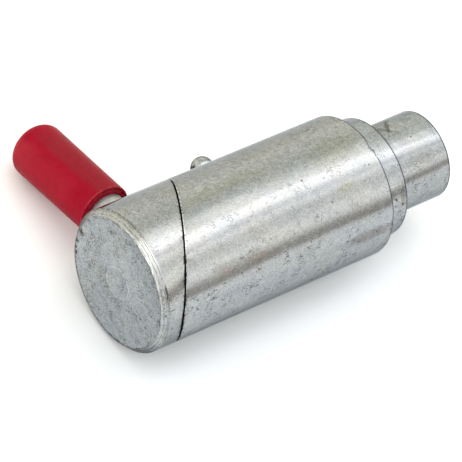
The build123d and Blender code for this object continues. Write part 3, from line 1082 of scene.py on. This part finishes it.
def vinyl(name):
    """Red moulded vinyl, scuffed, with a painted sheen on its low side, painted shade along its top and in its
    mouth, a painted highlight on the mouth's roll, and a darker blot of painted shade where it is dented once.
    """
    material, start, place = new_finish(name)
    grain = place.noise(0.5, detail=2, roughness=0.8)
    clouds = place.noise(1.8, detail=3, roughness=0.65)
    mottle = place.noise(7, detail=2)
    reach = place.along(HANDLE_SIDE)
    top = off_rod(place, GRIP_TOP) + (mottle - 0.5) * 1.2
    low = off_rod(place, GRIP_LOW_SIDE) + (mottle - 0.5) * 2

    colour = mottle.between(0.3, 0.7).tinted((0.295, 0.005, 0.017, 1), (0.325, 0.007, 0.023, 1))
    # Painted sheen: a lighter zone along the low side, strongest towards the crown
    painted_sheen = low.between(-1.5, 2) * low.between(9.5, 4) * reach.between(30, 36)
    painted_sheen = painted_sheen * (0.4 + 0.6 * reach.between(45, 57))
    colour = (painted_sheen * 0.9).tinted(colour, (0.345, 0.021, 0.034, 1))
    # Painted shade: darker towards the low side's outer edge
    colour = low.between(5, 7.7).tinted(colour, colour.scaled(0.86))
    scuffs = place.noise(1.4, detail=3, stretch=(1, 3, 1)).between(0.56, 0.72)
    colour = (scuffs * 0.2).tinted(colour, (0.24, 0.014, 0.022, 1))
    # Painted shade and a painted dark reflection: a darker, duller strip along the top towards the crown
    painted_top_shade = top.between(6.2, 7.3) * reach.between(58, 46)
    colour = (painted_top_shade * 0.9).tinted(colour, (0.245, 0.016, 0.024, 1))
    rim = GRIP_START + GRIP_MOUTH_SET
    # Painted highlight: a pale line round the mouth's outer roll
    painted_roll_highlight = reach.between(rim + 0.1, rim + 0.25) * reach.between(rim + 0.7, rim + 0.45)
    painted_roll_highlight = painted_roll_highlight * place.noise(1.5, detail=2).between(0.42, 0.58)
    colour = (painted_roll_highlight * 0.4).tinted(colour, (0.42, 0.07, 0.07, 1))

    # Painted shade of a dent that the shape doesn't have: a darker blot
    painted_dent_shade = place.blot(GRIP_DENT * MM, 1.5)
    from_rod = place.from_line(side_line(HANDLE_X))
    # Painted shade inside the mouth's fold, near the bore
    painted_mouth_shade = from_rod.between(6.55, 6.35) * reach.between(GRIP_START + 4, GRIP_START + 1)
    shade = (0.66 + 0.4 * grain + 0.28 * clouds) * (1 - 0.4 * painted_dent_shade) * (1 - 0.3 * painted_mouth_shade)
    height = place.noise(0.5, detail=1) * 0.01 + mottle * 0.15
    finish_with(
        start, base_color=colour.scaled(shade), specular_ior_level=0.03,
        roughness=0.36 + 0.12 * scuffs, normal=height.bump(),
    )
    return material


def bright_plate(name):
    """The bright plate of the nipple, with a painted dark reflection on the side towards the knob."""
    material, start, place = new_finish(name)
    mottle = place.noise(1.0, detail=2)
    colour = mottle.between(0.35, 0.65).tinted((0.31, 0.32, 0.315, 1), (0.54, 0.545, 0.54, 1))
    # Painted dark reflection: near black on the side towards the knob
    painted_dark_side = place.along(AXIS).between(NIPPLE_X - 2.45, NIPPLE_X - 3.05)
    colour = (painted_dark_side * 0.85).tinted(colour, (0.02, 0.02, 0.035, 1))
    finish_with(
        start, base_color=colour, metallic=1.0, specular_tint=(0.12, 0.14, 0.20, 1),
        roughness=0.06 + 0.1 * mottle,
    )
    return material


def spring_wire(name):
    """Dark spring wire with smears of grease."""
    material, start, place = new_finish(name)
    mottle = place.noise(2.0, detail=2)
    smears = place.noise(5.0, detail=3).between(0.42, 0.6)
    colour = mottle.tinted((0.12, 0.12, 0.12, 1), (0.3, 0.3, 0.29, 1))
    colour = (smears * 0.6).tinted(colour, (0.13, 0.10, 0.055, 1))
    finish_with(
        start, base_color=colour, metallic=1.0, roughness=0.3 + 0.2 * mottle - 0.15 * smears
    )
    return material


FLOOR_SIZE = 8

# What the lights give, by the angle in the YZ plane from straight up towards -Y.
LIGHTS = [
    (-89, (1.04, 1.02, 0.90)),
    (-70, (1.11, 1.11, 0.99)),
    (-40, (0.87, 0.89, 0.81)),
    (-31, (0.94, 0.97, 0.90)),
    (-20, (1.44, 1.46, 1.40)),
    (-13, (1.60, 1.62, 1.58)),
    (-6, (1.98, 2.00, 1.98)),
    (-3, (2.52, 2.52, 2.52)),
    (7.4, (2.40, 2.40, 2.40)),
    (14.5, (1.55, 1.57, 1.59)),
    (18.5, (1.38, 1.42, 1.44)),
    (23.5, (1.80, 1.80, 1.76)),
    (31, (1.26, 1.28, 1.24)),
    (40, (1.18, 1.20, 1.16)),
    (53, (1.55, 1.56, 1.50)),
    (64.5, (1.38, 1.39, 1.33)),
    (75.5, (0.60, 0.58, 0.54)),
    (84, (0.52, 0.50, 0.47)),
    (88, (1.10, 1.10, 1.09)),
]
BRIGHTEST = 3.0


def studio():
    """A pale floor under long soft lights that lie along the plunger."""
    bpy.ops.object.select_all(action="DESELECT")
    bpy.ops.mesh.primitive_plane_add(size=FLOOR_SIZE, location=(0, 0, -BARREL_RADIUS * MM))
    floor = bpy.context.object
    floor.name = "floor"
    material, start, place = new_finish("pale floor")
    across = place.along(ACROSS)
    shade = across.between(-60, 50).tinted((0.82, 0.855, 0.905, 1), (0.99, 0.98, 0.97, 1))
    shade = across.between(50, 160).tinted(shade, (0.78, 0.765, 0.71, 1))
    finish_with(start, base_color=shade, roughness=0.9)
    floor.data.materials.append(material)

    world = bpy.data.worlds.new("studio light")
    bpy.context.scene.world = world
    world.use_nodes = True
    world.node_tree.nodes.clear()
    start = Wire(world.node_tree)
    direction = start.node("ShaderNodeTexCoord", output=0)
    y = start.node("ShaderNodeSeparateXYZ", None, {"Vector": direction}, output=1)
    lean = start.math("ARCTAN2", y * -1.0, y.other(2)) * (1 / pi) + 0.5
    stops = [(0.5 + angle / 180, tuple(part / BRIGHTEST for part in colour))
             for angle, colour in LIGHTS]
    light = start.node("ShaderNodeValToRGB", {"stops": stops}, {"Fac": lean})
    glow = start.node("ShaderNodeBackground", None, {"Color": light, "Strength": BRIGHTEST})
    start.node("ShaderNodeOutputWorld", None, {"Surface": glow})


# The camera, fitted to the photograph: its lens and sensor in millimetres, where it stands in
# metres, and the directions of its right, its top and its back
LENS = 317.54
SENSOR_WIDTH = 36
EYE = (-0.610295, -0.435982, 0.800704)
EYE_RIGHT = Vector((0.77955, -0.57825, 0.24068))
EYE_UP = Vector((0.33245, 0.70766, 0.62345))
EYE_BACK = Vector((-0.53083, -0.40600, 0.74390))


def camera():
    """The camera at the photograph's viewing angle."""
    lens = bpy.data.cameras.new("camera")
    lens.lens = LENS
    lens.sensor_width = SENSOR_WIDTH
    eye = bpy.data.objects.new("camera", lens)
    bpy.context.scene.collection.objects.link(eye)
    turn = Matrix((EYE_RIGHT, EYE_UP, EYE_BACK)).transposed().to_4x4()
    eye.matrix_world = Matrix.Translation(EYE) @ turn
    bpy.context.scene.camera = eye


# Finishes by node, or by material slot where several nodes share one
finishes = {
    "barrel": zinc_plate("zinc plate of the barrel", front_edge=0, cut=(BARREL_CUT, 1),
                         tint_patches=BARREL_STAINS_AND_PAINTED_LIGHT),
    "guide_bush": zinc_plate("zinc plate of the nose", front_edge=NOSE_FRONT,
                             tint_patches=NOSE_STAINS_AND_PAINTED_LIGHT),
    "lock_pin": zinc_plate("zinc plate of the pin", front_edge=PIN_TIP, tint_patches=PIN_STAINS_AND_PAINTED_LIGHT),
    "knob": zinc_plate("zinc plate of the knob", cut=(KNOB_CUT, -1), end_face=FACE_STAINS,
                       tint_patches=KNOB_STAINS_AND_PAINTED_LIGHT),
    "handle_rod": zinc_plate("dull zinc plate of the handle", dullness=0.3),
    "grip_vinyl": vinyl("red vinyl"),
    "nipple_plate": bright_plate("bright nipple plate"),
    "spring_steel": spring_wire("greased spring wire"),
}


def give_finish(target, node, slot):
    """Give an object the finish of its node or, where the node has none, of its slot."""
    target.data.materials.clear()
    target.data.materials.append(finishes.get(node) or finishes[slot])


pieces = [
    (make_barrel(), "barrel", "zinc_plate"),
    (make_bush(), "guide_bush", "zinc_plate"),
    (make_pin(), "lock_pin", "zinc_plate"),
    (make_knob(), "knob", "zinc_plate"),
    (make_rod(), "handle_rod", "zinc_plate"),
    (make_grip(), "grip", "grip_vinyl"),
    (make_nipple(), "grease_nipple", "nipple_plate"),
    (make_coil("main_spring", axis_line(), CHAMBER_BACK, SPRING_LENGTH, SPRING_WIRE,
               SPRING_DIAMETER, SPRING_TURNS), "return_spring", "spring_steel"),
    (make_coil("valve_spring", side_line(NIPPLE_X), NIPPLE_BORE_FOOT, VALVE_SPRING_LENGTH,
               VALVE_SPRING_WIRE, VALVE_SPRING_DIAMETER, VALVE_SPRING_TURNS),
     "nipple_spring", "spring_steel"),
]
bodies = {node: body for body, nodes in frame["record"]["behaviour"]["bodies"].items()
          for node in nodes}
for piece, node, slot in pieces:
    give_finish(piece, node, slot)
    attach(piece, bodies[node])
    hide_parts(node)

for subpart in frame["record"]["subparts"]:
    node = subpart["node"]
    give_finish(frame["nodes"][node], node, subpart["material_slot"])

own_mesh(bpy.data.objects["main_spring"])
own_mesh(bpy.data.objects["valve_spring"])

studio()
camera()
bpy.context.scene.view_settings.view_transform = "Standard"
